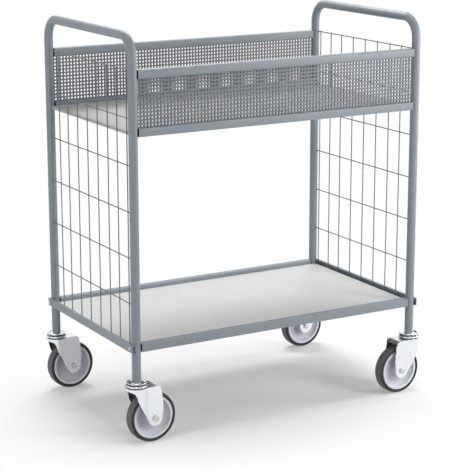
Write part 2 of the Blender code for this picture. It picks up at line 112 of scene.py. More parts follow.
def feed(tree, slot, value):
    """Link a socket or a list of sockets, or set the slot's own value."""
    if isinstance(value, list):
        for each in value:
            feed(tree, slot, each)
    elif isinstance(value, Value):
        tree.links.new(value.socket, slot)
    else:
        slot.default_value = value


# %% [markdown]
# ## One way to add any other node
#
# A setting such as a mode decides which sockets a node has, so the settings,
# given by name, are made first and the sockets are fed afterwards. The same
# method serves shader trees and geometry trees.


# %% A tree with one node-making method
class Maker:
    def __init__(self, tree):
        self.tree = tree

    def add(self, kind, sockets=None, out=0, **settings):
        node = self.tree.nodes.new(kind)
        for name, value in settings.items():
            setattr(node, name, value)
        for name, value in (sockets or {}).items():
            feed(self.tree, node.inputs[name], value)
        return Value(self.tree, node.outputs[out]) if node.outputs else None


# %% [markdown]
# ## Finishes
#
# Every finish is one Principled shader. Constants sit on its own sockets.
# Only colour, roughness and the normal vary over the surface, and they follow
# Object coordinates, which here are plain metres, so a pattern keeps its real
# scale on every piece.


# %% Parts of a finish
def finish(name):
    """The maker of a new material, with the coordinates it follows."""
    material = bpy.data.materials.new(name)
    material.use_nodes = True
    make = Maker(material.node_tree)
    make.material = material
    make.place = make.add("ShaderNodeTexCoord", out="Object")
    return make


def noise(make, per_metre, detail=2.0):
    return make.add("ShaderNodeTexNoise", {
        "Vector": make.place, "Scale": per_metre, "Detail": detail})


def blend(make, amount, first, second):
    """Colour that goes from the first to the second as amount goes 0 to 1."""
    ends = [colour if isinstance(colour, Value) else (*colour, 1)
            for colour in (first, second)]
    return make.add("ShaderNodeMix", {0: amount, 6: ends[0], 7: ends[1]},
                    out=2, data_type="RGBA")


def relief(make, height, strength, depth):
    return make.add("ShaderNodeBump", {
        "Height": height, "Strength": strength, "Distance": depth})


def surface(make, colour, roughness, normal=None, metallic=0, specular=0.5):
    """Feed the shader; returns the material."""
    values = {"Base Color": colour, "Roughness": roughness,
              "Metallic": metallic, "Specular IOR Level": specular}
    if normal:
        values["Normal"] = normal
    shader = make.tree.nodes["Principled BSDF"]
    for name, value in values.items():
        feed(make.tree, shader.inputs[name], value)
    print("finish:", make.material.name)
    return make.material


# %% [markdown]
# Powder coat is sprayed on dry and melted in an oven. It dries with a fine
# orange-peel ripple a millimetre or so across and a slight cloudiness. The
# ripple is a bump, the cloudiness a blend of two close blue-greys. The thin
# wires and the punched sheet get darker copies of the coat as painted shade,
# and the walls of the sheet's holes and the bores of the rails a nearly black
# one, painted shade inside them.


# %% Blue-grey powder coat
def powder_coat(name, low, high, fleck):
    make = finish(name)
    cloud = noise(make, per_metre=9, detail=3.0)
    grain = noise(make, per_metre=1400, detail=1.0)
    ripple = noise(make, per_metre=620, detail=1.0)
    colour = blend(make, grain * 0.16, blend(make, cloud, low, high), fleck)
    bumps = relief(make, ripple * 0.7 + grain * 0.3, strength=0.22,
                   depth=0.05 * MM)
    return surface(make, colour, 0.36 + cloud * 0.1, bumps)


POWDER_COAT = powder_coat("powder_coat_finish", (0.232, 0.265, 0.296),
                          (0.256, 0.29, 0.321), (0.32, 0.35, 0.38))
# Darker copies of the coat for the wires and the punched sheet: painted shade.
WIRE_SHADED_COAT = powder_coat("wire_shaded_coat_finish", (0.15, 0.171, 0.191),
                        (0.172, 0.195, 0.216), (0.23, 0.25, 0.28))
PUNCHED_SHADED_COAT = powder_coat("punched_shaded_coat_finish", (0.158, 0.181, 0.203),
                           (0.178, 0.202, 0.224), (0.24, 0.26, 0.29))
# A nearly black copy for hole walls and rail bores: painted shade.
HOLE_SHADE_COAT = powder_coat("hole_shade_coat_finish", (0.028, 0.032, 0.037),
                        (0.04, 0.045, 0.05), (0.07, 0.075, 0.08))

# %% [markdown]
# The boards carry a printed laminate. Close up it is a field of tiny darker
# and lighter flecks, and from a step away it is one light grey. The board in
# the basket is a darker grey than the lower one.


# %% Light grey laminate
def laminate(name, grey):
    """Greys that keep their ratios to the one that is given."""
    make = finish(name)
    flecks = noise(make, per_metre=900, detail=1.0)
    haze = noise(make, per_metre=5, detail=3.0)

    def shade(share):
        return (grey * share, grey * share, grey * share * 0.99)

    base = blend(make, haze, shade(0.975), shade(1.03))
    darker = blend(make, (flecks > 0.62) * 0.35, base, shade(0.74))
    colour = blend(make, (flecks < 0.37) * 0.4, darker, shade(1.145))
    bumps = relief(make, flecks, strength=0.1, depth=0.03 * MM)
    return surface(make, colour, 0.48 + haze * 0.08, bumps, specular=0.35)


LAMINATE = {"upper": laminate("upper_laminate_finish", 0.46),
            "lower": laminate("lower_laminate_finish", 0.76)}

# %% [markdown]
# The underside of each board gets a dark finish, painted shade, and the
# bright castor crowns mirror it.


# %% Dark underside of the boards: painted shade
make = finish("board_underside_shade_finish")
fibres = noise(make, per_metre=320, detail=3.0)
colour = blend(make, fibres, (0.15, 0.15, 0.152), (0.21, 0.21, 0.212))
bumps = relief(make, fibres, strength=0.2, depth=0.05 * MM)
UNDERSIDE_SHADE = surface(make, colour, 0.62, bumps)

# %% [markdown]
# Pressed steel parts are zinc plated in a barrel. The plate is bright with a
# faint cold tint, soft dull patches where parts rubbed in the barrel, and a
# fine brushed grain.


# %% Bright zinc plate
def zinc(name, low, high, roughness):
    make = finish(name)
    patches = noise(make, per_metre=55, detail=4.0)
    grain = noise(make, per_metre=1900, detail=1.0)
    bumps = relief(make, patches * 0.7 + grain * 0.3, strength=0.05,
                   depth=0.04 * MM)
    return surface(make, blend(make, patches, low, high),
                   (roughness - 0.03) + patches * 0.08 + grain * 0.03, bumps,
                   metallic=0.85)


ZINC = zinc("zinc_finish", (0.8, 0.83, 0.87), (0.88, 0.9, 0.93), 0.1)

# %% [markdown]
# A near-black, faintly lumpy finish stands for the grease in the races and
# also paints the shade between head, races and crown.


# %% Grease and painted shade
make = finish("race_grease_and_shade_finish")
lumps = noise(make, per_metre=260)
colour = blend(make, lumps, (0.022, 0.022, 0.024), (0.055, 0.055, 0.058))
bumps = relief(make, lumps, strength=0.3, depth=0.2 * MM)
GREASE_AND_SHADE = surface(make, colour, 0.45, bumps)

# %% [markdown]
# The hexagon heads keep a slightly warmer passivation, and the dome bolts on
# the end rails have gone dull. The inside of a fork gets a dark, matt copy of
# the zinc, painted shade.

# %% Bolt plating
BOLT_ZINC = zinc("bolt_zinc_finish", (0.58, 0.595, 0.58),
                 (0.68, 0.695, 0.68), 0.18)
DULL_ZINC = zinc("dull_zinc_finish", (0.4, 0.43, 0.42),
                 (0.54, 0.56, 0.55), 0.36)
FORK_INSIDE_SHADE = zinc("fork_inside_shade_finish", (0.14, 0.145, 0.15),
                   (0.22, 0.225, 0.23), 0.45)

# %% [markdown]
# The rim is a grey moulding with a slight lavender cast, a soft satin sheen
# and faint flow marks. Its outer edge gets a lighter copy of the moulding,
# painted light.


# %% Grey moulded plastic
def moulded_plastic(name, low, high):
    make = finish(name)
    flow = noise(make, per_metre=70, detail=3.0)
    skin = noise(make, per_metre=1600, detail=1.0)
    bumps = relief(make, skin, strength=0.14, depth=0.03 * MM)
    return surface(make, blend(make, flow, low, high),
                   0.43 + flow * 0.1, bumps, specular=0.4)


WHEEL_PLASTIC = moulded_plastic(
    "wheel_plastic_finish", (0.57, 0.578, 0.628), (0.636, 0.644, 0.698))
RIM_LIT_EDGE = moulded_plastic("rim_lit_edge_finish", (0.74, 0.75, 0.795),
                           (0.8, 0.81, 0.855))

# %% [markdown]
# Rubber that rolls on floors goes greyer with dust. A worn mask of broad
# noise lightens it in patches and makes it rougher there. The sides of the
# tyre never touch the floor and stay nearly black.


# %% Dark grey rubber
def rubber(name, clean, dusty):
    make = finish(name)
    dust = noise(make, per_metre=45, detail=4.0)
    pores = noise(make, per_metre=1500, detail=1.0)
    bumps = relief(make, pores * 0.5 + dust * 0.5, strength=0.3,
                   depth=0.10 * MM)
    return surface(make, blend(make, dust, clean, dusty),
                   0.52 + dust * 0.22, bumps, specular=0.35)


RUBBER = rubber("tyre_rubber_finish", (0.115, 0.115, 0.117),
                (0.155, 0.154, 0.153))
SIDE_RUBBER = rubber("tyre_side_finish", (0.026, 0.026, 0.028),
                     (0.05, 0.05, 0.051))

# %% [markdown]
# ## From a modifier stack to a plain piece
#
# The export wants plain meshes whose place is in the mesh. So each shape is
# evaluated once, its result kept as a mesh, and the modifiers dropped.


# %% New objects and modifiers
def linked(name, data):
    """A new object in the scene."""
    made = bpy.data.objects.new(name, data)
    bpy.context.scene.collection.objects.link(made)
    return made


def from_bmesh(name, bm):
    """A new object from a bmesh, which is freed."""
    mesh = bpy.data.meshes.new(name)
    bm.to_mesh(mesh)
    bm.free()
    return linked(name, mesh)


def remove(*pieces):
    for piece in pieces:
        bpy.data.objects.remove(piece, do_unlink=True)


def soften(holder, width, segments, limit=30):
    """Round the edges that turn by more than the limit, in degrees."""
    edge = holder.modifiers.new("edge", "BEVEL")
    edge.width = width
    edge.segments = segments
    edge.limit_method = "ANGLE"
    edge.angle_limit = radians(limit)


def combine(target, tool, operation):
    step = target.modifiers.new(tool.name, "BOOLEAN")
    step.operation = operation
    step.solver = "EXACT"
    step.object = tool


# %% Settle, shade and mount a piece
SHARP = radians(38)
SEAM = 0.005 * MM
WELD = 0.01 * MM


def settle(holder):
    """Turn a curve or a modifier stack into a plain mesh object."""
    bpy.context.view_layer.update()
    state = bpy.context.evaluated_depsgraph_get()
    mesh = bpy.data.meshes.new_from_object(holder.evaluated_get(state))
    mesh.transform(holder.matrix_world)
    name = holder.name
    remove(holder)
    return linked(name, mesh)


def tidy(piece, outward=True):
    """Close seams, point the faces outwards, smooth the round ones."""
    bm = bmesh.new()
    bm.from_mesh(piece.data)
    bmesh.ops.remove_doubles(bm, verts=bm.verts, dist=SEAM)
    if outward:
        bmesh.ops.recalc_face_normals(bm, faces=bm.faces)
    bm.to_mesh(piece.data)
    bm.free()
    piece.data.shade_smooth()
    piece.data.set_sharp_from_angle(angle=SHARP)
    return piece


def even(piece):
    """Let large flat faces rule the shading beside small rounds."""
    piece.modifiers.new("even", "WEIGHTED_NORMAL").keep_sharp = True
    return settle(piece)


def coat(piece, material):
    piece.data.materials.clear()
    piece.data.materials.append(material)
    return piece


def paint(piece, material, where):
    """A second finish on the faces that pass the test."""
    piece.data.materials.append(material)
    last = len(piece.data.materials) - 1
    for face in piece.data.polygons:
        if where(face):
            face.material_index = last
    return piece


def shift(x=0.0, y=0.0, z=0.0):
    return Matrix.Translation((x, y, z))


def spin(axis, angle):
    return Matrix.Rotation(angle, 4, axis)


def put(piece, matrix):
    piece.data.transform(matrix)
    return piece


def mount(piece, body, slot, *nodes):
    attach(piece, body)
    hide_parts(*nodes)
    print("%-34s %6d faces" % (piece.name, len(piece.data.polygons)))


# %% [markdown]
# ## Sizes read from the frame
#
# The boxes of a rail bolt and of an end frame give the posts' centres. Sizes
# that no box shows, such as a bend, are written as they are in the CAD source.


# %% Read the sizes
def middle(node):
    low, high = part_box(node)
    return (low + high) / 2


tube_low, tube_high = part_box("end_frame_right")
POST_Y = -middle("rail_bolt_front_right").y
POST_X = (tube_low.x + tube_high.x) / 2
TUBE_RADIUS = (tube_high.x - tube_low.x) / 2
TUBE_FOOT = tube_low.z
HANDLE_AXIS = 979 * MM
HANDLE_BEND = 50 * MM
FIT_GAP = 0.3 * MM
SIDES = (("left", -1), ("right", 1))
UPRIGHT = spin("X", pi / 2)
print("posts at x %.1f y %.1f mm" % (POST_X / MM, POST_Y / MM))

# %% [markdown]
# ## Building geometry trees
#
# A geometry tree gets named inputs for its sizes. The modifier's inputs are
# set by each socket's identifier before the object is first evaluated.

# %% Start and run a geometry tree
def start_tree(name, floats, ints):
    """A tree with named inputs; its maker and their values."""
    tree = bpy.data.node_groups.new(name, "GeometryNodeTree")
    kinds = {"points": "Geometry", **dict.fromkeys(floats.split(), "Float"),
             **dict.fromkeys(ints.split(), "Int"), "finish": "Material"}
    for title, kind in kinds.items():
        tree.interface.new_socket(title, in_out="INPUT",
                                  socket_type="NodeSocket" + kind)
    tree.interface.new_socket("Mesh", in_out="OUTPUT",
                              socket_type="NodeSocketGeometry")
    make = Maker(tree)
    entry = make.add("NodeGroupInput")
    return make, {title: entry.sibling(title) for title in kinds}


def end_tree(make, geometry, material):
    """Realize the copies, set the finish and join the output."""
    real = make.add("GeometryNodeRealizeInstances", {"Geometry": geometry})
    coated = make.add("GeometryNodeSetMaterial",
                      {"Geometry": real, "Material": material})
    make.add("NodeGroupOutput", {"Mesh": coated})
    print("tree %s: %d nodes" % (make.tree.name, len(make.tree.nodes)))
    return make.tree


def grow(name, tree, points=((0, 0, 0),), **sizes):
    """Run a tree on some points and keep the result as a plain mesh."""
    seed = bpy.data.meshes.new(name)
    seed.from_pydata(points, [], [])
    holder = linked(name, seed)
    step = holder.modifiers.new("grow", "NODES")
    step.node_group = tree
    for item in tree.interface.items_tree:
        if item.in_out == "INPUT" and item.name in sizes:
            step[item.identifier] = sizes[item.name]
    return settle(holder)


def vector(make, x=0.0, y=0.0, z=0.0):
    return make.add("ShaderNodeCombineXYZ", {"X": x, "Y": y, "Z": z})


def join(make, *parts):
    return make.add("GeometryNodeJoinGeometry", {"Geometry": list(parts)})


def on_points(make, points, instance):
    return make.add("GeometryNodeInstanceOnPoints",
                    {"Points": points, "Instance": instance})


def segment(make, start, end):
    return make.add("GeometryNodeCurvePrimitiveLine",
                    {"Start": start, "End": end})


def fillet(make, curve, steps, radius):
    return make.add("GeometryNodeFilletCurve", {
        "Curve": curve, "Count": steps, "Radius": radius}, mode="POLY")


def sweep(make, line, radius, sides):
    """A round bar along a curve, with closed ends."""
    ring = make.add("GeometryNodeCurvePrimitiveCircle",
                    {"Resolution": sides, "Radius": radius}, mode="RADIUS")
    return make.add("GeometryNodeCurveToMesh", {
        "Curve": line, "Profile Curve": ring, "Fill Caps": True})


def moved(make, geometry, place, scale=(1, 1, 1)):
    return make.add("GeometryNodeTransform", {
        "Geometry": geometry, "Translation": place, "Scale": scale})


# %% [markdown]
# ## End frames
#
# Each end frame is one tube bent to an upside-down U, so its shape follows a
# path. The tree draws four corners, rounds the upper two with Fillet Curve
# and sweeps a circle along them. The real tube would be bent cold round a
# former, which gives the same even radius.


# %% Tree: bent tube
make, given = start_tree(
    "bent_tube", "half_span foot top bend_radius tube_radius",
    "bend_steps tube_sides")
corners = make.add("GeometryNodeResampleCurve", {
    "Curve": segment(make, (0, 0, 0), (0, 1, 0)), "Count": 4}, mode="COUNT")
index = make.add("GeometryNodeInputIndex")
far = index > 1.5
upper = (index > 0.5) * (index < 2.5)
y = (far * 2.0 - 1.0) * given["half_span"]
z = given["foot"] + upper * (given["top"] - given["foot"])
path = make.add("GeometryNodeSetPosition", {
    "Geometry": corners, "Position": vector(make, y=y, z=z)})
bent = fillet(make, path, given["bend_steps"], given["bend_radius"])
swept = sweep(make, bent, given["tube_radius"], given["tube_sides"])
BENT_TUBE = end_tree(make, swept, given["finish"])

# %% Sweep the two end frames
for side, sign in SIDES:
    tube = grow("bent_tube_" + side, BENT_TUBE, half_span=POST_Y,
                foot=TUBE_FOOT, top=HANDLE_AXIS, bend_radius=HANDLE_BEND,
                bend_steps=18, tube_radius=TUBE_RADIUS, tube_sides=40,
                finish=POWDER_COAT)
    put(tube, shift(sign * POST_X))
    mount(tidy(tube), "frame", "powder_coat", "end_frame_" + side)

# %% [markdown]
# ## Wire grids
#
# Rows and columns of wire are laid across each other and spot welded at
# every crossing. Columns are not evenly spaced, so their places come in as
# points, and the tree lays one upright wire on each. Rows are even, so a
# Mesh Line places them. A flattened bead marks each weld.


# %% Tree: welded grid
make, given = start_tree(
    "welded_grid", "wire_radius bottom top first_row row_pitch row_reach "
    "row_depth column_depth weld_radius", "wire_sides rows")
foot, head = [vector(make, x=given["column_depth"], z=given[end])
              for end in ("bottom", "top")]
columns = on_points(make, given["points"], segment(make, foot, head))
places = make.add("GeometryNodeMeshLine", {
    "Count": given["rows"],
    "Start Location": vector(make, z=given["first_row"]),
    "Offset": vector(make, z=given["row_pitch"])}, mode="OFFSET")
near, far = [vector(make, x=given["row_depth"],
                    y=given["row_reach"] * sign) for sign in (-1.0, 1.0)]
rows = on_points(make, places, segment(make, near, far))
lines = make.add("GeometryNodeRealizeInstances",
                 {"Geometry": join(make, columns, rows)})
swept = sweep(make, lines, given["wire_radius"], given["wire_sides"])
bead = make.add("GeometryNodeMeshIcoSphere",
                {"Radius": given["weld_radius"], "Subdivisions": 1})
between = (given["row_depth"] + given["column_depth"]) * 0.5
flat_bead = moved(make, bead, vector(make, x=between), (0.7, 1.0, 1.0))
stack = on_points(make, places, flat_bead)
welds = on_points(make, given["points"], stack)
WELDED_GRID = end_tree(make, join(make, swept, welds), given["finish"])

# %% Weld the two end grids
WIRE_RADIUS = 1.4 * MM
ROW_DEPTH = 4.2 * MM
COLUMN_DEPTH = ROW_DEPTH + 2 * WIRE_RADIUS - 0.5 * MM
WELD_RADIUS = 1.7 * MM
COLUMN_SHARES = (0, 0.2403, 0.4807, 0.6987, 0.9185)
grid_low, grid_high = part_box("end_mesh_right")
ROWS = 7
top_row = grid_high.z - WIRE_RADIUS - 0.5 * MM
bottom_row = grid_low.z + WIRE_RADIUS
column_points = sorted({(0, sign * share * POST_Y, 0)
                        for share in COLUMN_SHARES for sign in (-1, 1)})
for side, sign in SIDES:
    grid = grow("welded_grid_" + side, WELDED_GRID, column_points,
                wire_radius=WIRE_RADIUS, wire_sides=12, bottom=grid_low.z,
                top=grid_high.z, rows=ROWS, first_row=bottom_row,
                row_pitch=(top_row - bottom_row) / (ROWS - 1),
                row_reach=grid_high.y, row_depth=ROW_DEPTH,
                column_depth=COLUMN_DEPTH, weld_radius=WELD_RADIUS,
                finish=WIRE_SHADED_COAT)
    put(grid, shift(sign * POST_X) @ spin("Z", 0 if sign > 0 else pi))
    mount(tidy(grid, outward=False), "frame", "powder_coat",
          "end_mesh_" + side)
print("columns:", len(column_points), "rows:", ROWS)

# %% [markdown]
# ## Perforated panels
#
# A real panel is punched from flat sheet, thousands of small square holes
# with soft corners. The tree does the same: it lays rounded squares on a
# grid of points inside a rectangle, fills what lies between, and lifts the
# sheet to its thickness. Real holes matter here, because the boards and the
# far panel are seen through them. So do their walls: seen at a slant, each
# hole is half filled by its own wall, which gets a near-black coat as painted
# shade. The sheet is drawn thicker than a real one, so that this shows from a
# few steps away.


# %% Tree: punched sheet
def rectangle(make, width, height):
    return make.add("GeometryNodeCurvePrimitiveQuadrilateral",
                    {"Width": width, "Height": height}, mode="RECTANGLE")


make, given = start_tree(
    "punched_sheet", "length height thickness hole corner", "columns rows")
length, height = given["length"], given["height"]
punch = fillet(make, rectangle(make, given["hole"], given["hole"]), 1,
               given["corner"])
places = make.add("GeometryNodeMeshGrid", {
    "Size X": length - length / given["columns"],
    "Size Y": height - height / given["rows"],
    "Vertices X": given["columns"], "Vertices Y": given["rows"]})
outline = join(make, rectangle(make, length, height),
               on_points(make, places, punch))
flat = make.add("GeometryNodeRealizeInstances", {"Geometry": outline})
face = make.add("GeometryNodeFillCurve", {"Curve": flat}, mode="TRIANGLES")
lifted = make.add("GeometryNodeExtrudeMesh", {
    "Mesh": face, "Offset": (0, 0, 1), "Individual": False,
    "Offset Scale": given["thickness"]}, mode="FACES")
back = make.add("GeometryNodeFlipFaces", {"Mesh": face})
closed = make.add("GeometryNodeMergeByDistance", {
    "Geometry": join(make, lifted, back), "Distance": WELD})
PUNCHED_SHEET = end_tree(make, closed, given["finish"])

# %% Punch the two panels
PANEL_SHEET = 4 * MM
HOLE = 5.9 * MM
HOLE_CORNER = 1.3 * MM
HOLE_COLUMNS, HOLE_ROWS = 87, 13
for side in ("front", "back"):
    low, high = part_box("perforated_panel_" + side)
    back_face = (low.y + high.y + PANEL_SHEET) / 2
    sheet = grow("punched_panel_" + side, PUNCHED_SHEET,
                 length=high.x - low.x, height=high.z - low.z,
                 thickness=PANEL_SHEET, hole=HOLE, corner=HOLE_CORNER,
                 columns=HOLE_COLUMNS, rows=HOLE_ROWS, finish=PUNCHED_SHADED_COAT)
    put(sheet, shift(y=back_face, z=(low.z + high.z) / 2) @ UPRIGHT)
    # The hole walls get the near-black coat: painted shade.
    paint(tidy(sheet, outward=False), HOLE_SHADE_COAT,
          lambda f: abs(f.normal.y) < 0.5)
    mount(sheet, "frame", "powder_coat", "perforated_panel_" + side)

# %% [markdown]
# ## Rails
#
# The rails are square tubes with small rolled corners and open ends. A flat
# 2D curve with an inner loop fills to the section, and its extrude gives the
# length, so the open ends come for free. All but the basket's top rails carry
# a ledge for the board, drawn as part of the section.


# %% Rounded outlines
def parabola(start, aim, stop, steps):
    """Points of a curve that leaves start towards aim and ends at stop."""
    return [tuple(start * (1 - t) ** 2 + aim * 2 * t * (1 - t) + stop * t * t)
            for t in [k / steps for k in range(steps + 1)]]


def rounded(before, corner, after, ease, steps):
    """One corner, rounded over a length of ease."""
    here = Vector(corner)
    sides = [Vector(end) - here for end in (before, after)]
    reach = min(ease, *[side.length * 0.45 for side in sides])
    start, stop = [here + side.normalized() * reach for side in sides]
    return parabola(start, here, stop, steps)


def eased(points, ease):
    """A closed outline with its corners rounded."""
    loop = [points[-1], *points, points[0]]
    return sum([rounded(*three, ease, steps=4)
                for three in zip(loop, loop[1:], loop[2:])], [])


def square_loop(half):
    return ((-half, -half), (half, -half), (half, half), (-half, half))


def section_bar(name, loops, length, material):
    """Solid bar whose section is the loops, lying along local Z."""
    curve = bpy.data.curves.new(name, "CURVE")
    curve.dimensions = "2D"
    curve.fill_mode = "BOTH"
    curve.extrude = length / 2
    for loop in loops:
        line = curve.splines.new("POLY")
        line.points.add(len(loop) - 1)
        line.use_cyclic_u = True
        for point, (x, y) in zip(line.points, loop):
            point.co = (x, y, 0, 1)
    return coat(tidy(settle(linked(name, curve))), material)


# %% Roll the rails
RAIL = 20 * MM
RAIL_WALL = 1.5 * MM
RAIL_EASE = 2.4 * MM
BORE_EASE = 1.2 * MM
LEDGE = 14 * MM
LEDGE_SHEET = 2 * MM
LEDGE_EASE = 0.9 * MM
half = RAIL / 2
bore = eased(square_loop(half - RAIL_WALL), BORE_EASE)
plain = (eased(square_loop(half), RAIL_EASE), bore)
ledge_top = LEDGE_SHEET - half
ledged = (eased(((half, half), (-half, half), (-half, ledge_top),
                 (-half - LEDGE, ledge_top), (-half - LEDGE, -half),
                 (half, -half)), LEDGE_EASE), bore)
for side, sign in (("front", -1), ("back", 1)):
    for kind, loops in (("basket_top_rail", plain),
                        ("basket_bottom_rail", ledged),
                        ("lower_rail", ledged)):
        node = kind + "_" + side
        low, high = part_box(node)
        bar = section_bar("rolled_" + node, loops, high.x - low.x,
                          POWDER_COAT)
        # The bore's inner walls get the near-black coat: painted shade.
        paint(bar, HOLE_SHADE_COAT, lambda f: abs(f.normal.z) < 0.5 and max(
            abs(f.center.x), abs(f.center.y)) < half - RAIL_WALL / 2)
        put(bar, shift(y=sign * POST_Y, z=(low.z + high.z) / 2)
            @ spin("Z", sign * pi / 2) @ UPRIGHT)
        mount(bar, "frame", "powder_coat", node)

# %% [markdown]
# ## Folded end rails
#
# The channels that run outside the legs have notches and drilled webs that
# are right in the CAD already. So each one is a copy of its solid: the loose
# triangles are merged, flat faces are joined again, and the edges get the
# small radius that a folded and coated sheet has.


# %% Copy the end rails and soften their edges
FLAT = radians(1)
FOLD_EASE = 0.35 * MM
for side, sign in SIDES:
    node = "lower_end_rail_" + side
    bm = bmesh.new()
    bm.from_mesh(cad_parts[node].data)
    bmesh.ops.remove_doubles(bm, verts=bm.verts, dist=WELD)
    bmesh.ops.dissolve_limit(bm, angle_limit=FLAT, verts=bm.verts,
                             edges=bm.edges)
    holder = from_bmesh("folded_rail_" + side, bm)
    stale = holder.data.attributes.get("custom_normal")
    if stale:
        holder.data.attributes.remove(stale)
    soften(holder, FOLD_EASE, 2, limit=35)
    channel = coat(even(tidy(settle(holder), outward=False)), POWDER_COAT)
    mount(channel, "frame", "powder_coat", node)

# %% [markdown]
# ## Boards
#
# Each board is a thin panel whose edge is broken by a tiny round. A bevelled
# box is all that it is, and its interest lies in its two finishes.


# %% Cut the boards
BOARD_EASE = 0.9 * MM
for level, material in LAMINATE.items():
    low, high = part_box(level + "_board")
    bm = bmesh.new()
    bmesh.ops.create_cube(bm, size=1)
    bmesh.ops.scale(bm, verts=bm.verts, vec=high - low)
    bmesh.ops.translate(bm, verts=bm.verts, vec=(low + high) / 2)
    holder = from_bmesh("laminated_board_" + level, bm)
    soften(holder, BOARD_EASE, 4)
    made = coat(even(tidy(settle(holder))), material)
    # The downward faces get the dark finish: painted shade.
    paint(made, UNDERSIDE_SHADE, lambda f: f.normal.z < -0.9)
    mount(made, "frame", "board_laminate", level + "_board")

# %% [markdown]
# ## Turned shapes
#
# Cups, races, washers, tyres and rims are all turned. A profile of radius and
# height pairs goes round the Z axis with a Screw modifier. It runs from top
# to bottom, or its faces would point inwards. The profile of a ring is
# closed, and any other one starts and ends on the axis.


# %% Draw and turn a profile
def in_mm(points, low=0.0, radius=0.0):
    """Pairs in millimetres, from a height and a radius in metres."""
    return [(radius + r * MM, low + z * MM) for r, z in points]


def rod(radius, top, foot):
    """The profile of a plain cylinder."""
    return [(0, top), (radius, top), (radius, foot), (0, foot)]


def mirrored(side, *middle):
    """The upper half of a profile and its mirror image."""
    return side + list(middle) + [(r, -z) for r, z in reversed(side)]


def softened_profile(points, ease):
    """Round the inner corners of an open profile; its ends stay."""
    corners = [rounded(*three, ease, steps=3)
               for three in zip(points, points[1:], points[2:])]
    return [points[0]] + sum(corners, []) + [points[-1]]


def turned(name, profile, steps, material, ease=0.0, ring=False):
    if ease:
        profile = softened_profile(profile, ease)
    bm = bmesh.new()
    verts = [bm.verts.new((r, 0, z)) for r, z in profile]
    for first, second in zip(verts, verts[1:]):
        bm.edges.new((first, second))
    if ring:
        bm.edges.new((verts[-1], verts[0]))
    holder = from_bmesh(name, bm)
    turn = holder.modifiers.new("turn", "SCREW")
    turn.steps = turn.render_steps = steps
    turn.use_merge_vertices = True
    turn.merge_threshold = WELD
    return coat(tidy(settle(holder)), material)


# %% [markdown]
# ## Bolts and plugs on the legs
#
# Four dome-head bolts and eight small plugs repeat two shapes, so one tree
# sets a shape on points. The points of a side share a direction, and each
# side is grown once.


# %% Tree: heads on points
make, given = start_tree("heads_on_points", "radius height collar", "sides")
radius, collar = given["radius"], given["collar"]
ball = make.add("GeometryNodeMeshUVSphere", {
    "Segments": given["sides"], "Rings": 12, "Radius": 1.0})
dome = moved(make, ball, vector(make, z=collar), vector(
    make, radius, radius, given["height"] - collar))
disc = make.add("GeometryNodeMeshCylinder", {
    "Vertices": given["sides"], "Radius": radius * 1.04, "Depth": collar})
seated = moved(make, disc, vector(make, z=collar * 0.5))
placed = on_points(make, given["points"], join(make, dome, seated))
HEADS = end_tree(make, placed, given["finish"])

# %% Set the bolts and the plugs
def set_heads(name, nodes, radius, height, collar, material, slot, seat):
    for side, sign in SIDES:
        chosen = [n for n in nodes if "_" + side in n]
        turn = spin("Y", sign * pi / 2)
        points = []
        for node in chosen:
            place = middle(node)
            place.x = sign * seat
            points.append(tuple(turn.inverted() @ place))
        made = grow(name + "_" + side, HEADS, points, radius=radius,
                    height=height, collar=collar, sides=28, finish=material)
        mount(tidy(put(made, turn), outward=False), "frame", slot, *chosen)


bolts = sorted(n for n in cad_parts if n.startswith("rail_bolt_"))
plugs = sorted(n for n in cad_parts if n.startswith("post_plug_"))
web_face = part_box("lower_end_rail_right")[1].x
set_heads("dome_bolts", bolts, 5.2 * MM, 3.5 * MM, 0.8 * MM, DULL_ZINC,
          "zinc", web_face + FIT_GAP)
set_heads("leg_plugs", plugs, 2.4 * MM, 1.2 * MM, 0.35 * MM, POWDER_COAT,
          "powder_coat", POST_X + TUBE_RADIUS)
print("bolts:", len(bolts), "plugs:", len(plugs))

# %% [markdown]
# ## Castors
#
# A castor is a small machine: a head that stays with the leg, a fork that
# swivels under it on balls, and a wheel on a bolt. All shapes are drawn once
# about the swivel's axis, with the wheel trailing along +X, and then each
# corner gets its own turned and moved copy, one mesh per corner and body.

# %% Castor sizes and places
WHEEL_RADIUS = 62.5 * MM
TRAIL = 38 * MM
REST_SWIVEL = radians(3)
HUB_HALF = 20 * MM
PLATE = 2.5 * MM
FORK_INNER = HUB_HALF + 2 * FIT_GAP
FORK_OUTER = FORK_INNER + PLATE
CROWN_RADIUS = 28 * MM
CROWN_TOP = 143 * MM
RING_LOW, RING_HIGH = [v.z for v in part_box("bearing_ring_front_right")]
RACE_LOW, STEM_TOP = [v.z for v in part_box("castor_head_front_right")]
CORNERS = {
    end + "_" + side: shift(x * POST_X, y * POST_Y) @ spin(
        "Z", REST_SWIVEL + (pi if x > 0 else 0))
    for side, x in SIDES for end, y in (("front", -1), ("rear", 1))}
ON_AXLE = shift(x=TRAIL, z=WHEEL_RADIUS) @ UPRIGHT


def mount_on_castors(model, body, slot, stem):
    """Stand a copy of the model at each corner, for that corner's node."""
    for corner, place in CORNERS.items():
        piece = put(linked(model.name + "_" + corner, model.data.copy()),
                    place)
        ridden = body if body == "frame" else body + "_" + corner
        mount(piece, ridden, slot, stem + "_" + corner)
    remove(model)


# %% [markdown]
# The head is a dished race with a rolled rim round the foot of the tube, and
# a stem inside the tube that nobody sees.

# %% Head cups
ROUND_STEPS = 72
STEM_RADIUS = 9 * MM
foot = TUBE_FOOT - FIT_GAP
dish = [(STEM_RADIUS, foot), (11.2 * MM, foot)] + in_mm(
    [(12.6, 1.5), (20.4, 1.3), (22.9, 5.2), (24.7, 5.2), (25.5, 3.9),
     (23.2, 2.9), (21.8, 0)], RACE_LOW)
profile = [(0, STEM_TOP), (STEM_RADIUS, STEM_TOP),
           *softened_profile(dish, 0.8 * MM), (0, RACE_LOW)]
mount_on_castors(turned("head_cup", profile, ROUND_STEPS, ZINC), "frame",
                 "zinc", "castor_head")
